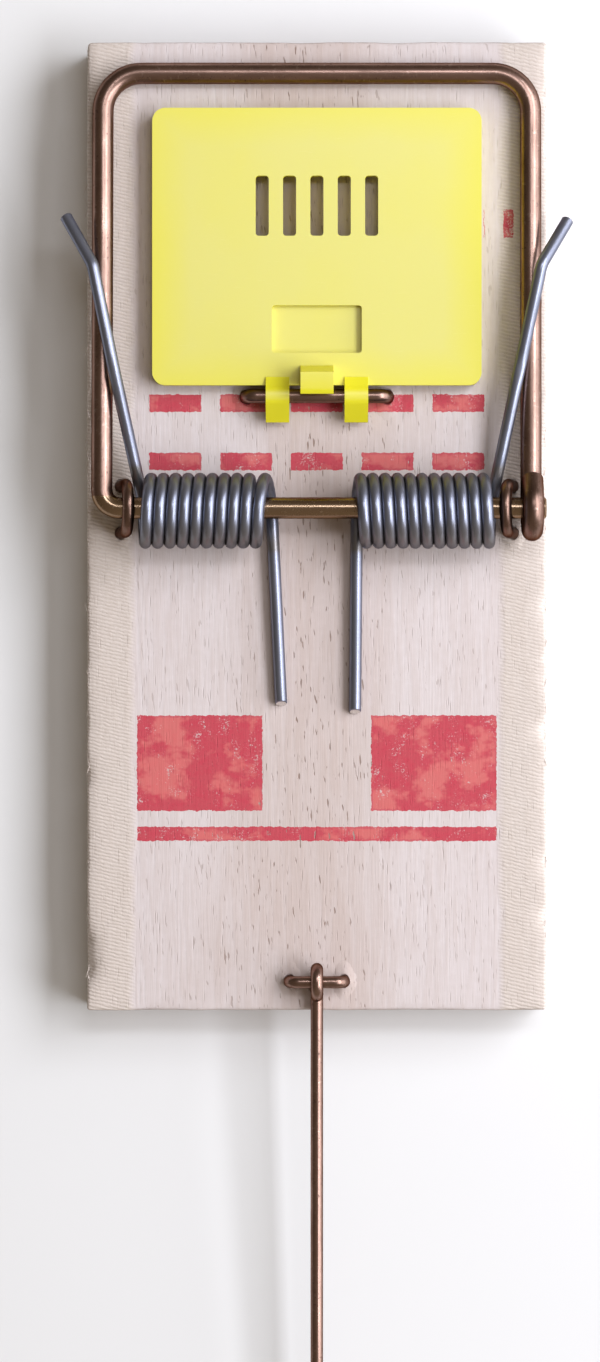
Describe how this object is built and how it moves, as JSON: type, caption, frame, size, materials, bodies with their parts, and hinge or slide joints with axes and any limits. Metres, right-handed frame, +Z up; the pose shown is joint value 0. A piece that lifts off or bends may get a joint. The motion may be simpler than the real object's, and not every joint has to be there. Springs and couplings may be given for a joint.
{
  "type": "snap mouse trap",
  "caption": "Wooden snap trap with a twin-spring kill bar, a clip-on plastic bait pedal, wire staples and a swinging lock bar; the bar lies sprung forward.",
  "frame": {"origin": "centre of the board's underside", "axes": "+X to the right seen from above with the bait end forward, +Y along the board towards the bait end, +Z up"},
  "size_m": [0.0934, 0.2796, 0.0269],
  "materials": {
    "wood": "sawn, uncoated",
    "coppered_wire": "thin copper wash on drawn steel wire",
    "spring_steel": "blued, oiled",
    "yellow_plastic": "moulded, semi-gloss"
  },
  "bodies": {
    "base": {"base_board": "wood", "spring_left": "spring_steel", "spring_right": "spring_steel", "axle_staple_left": "coppered_wire", "axle_staple_right": "coppered_wire", "pedal_staple": "coppered_wire", "lock_bar_staple": "coppered_wire"},
    "hammer": {"kill_bar": "coppered_wire"},
    "pedal": {"bait_pedal": "yellow_plastic"},
    "lock": {"lock_bar": "coppered_wire"}
  },
  "joints": [
    {"name": "kill_bar_swing", "type": "hinge", "parent": "base", "child": "hammer", "pos_m": [0, 0.003, 0.0203], "axis": [1, 0, 0], "range_deg": [0, 187], "stiffness_Nm_per_rad": 0.4, "springref_deg": -5.73, "deforming": ["spring_left", "spring_right"]},
    {"name": "pedal_tilt", "type": "hinge", "parent": "base", "child": "pedal", "pos_m": [0, 0.0237, 0.0153], "axis": [1, 0, 0], "range_deg": [0, 8]},
    {"name": "lock_bar_swing", "type": "hinge", "parent": "base", "child": "lock", "pos_m": [0, -0.0835, 0.0166], "axis": [-1, 0, 0], "range_deg": [0, 180]}
  ]
}
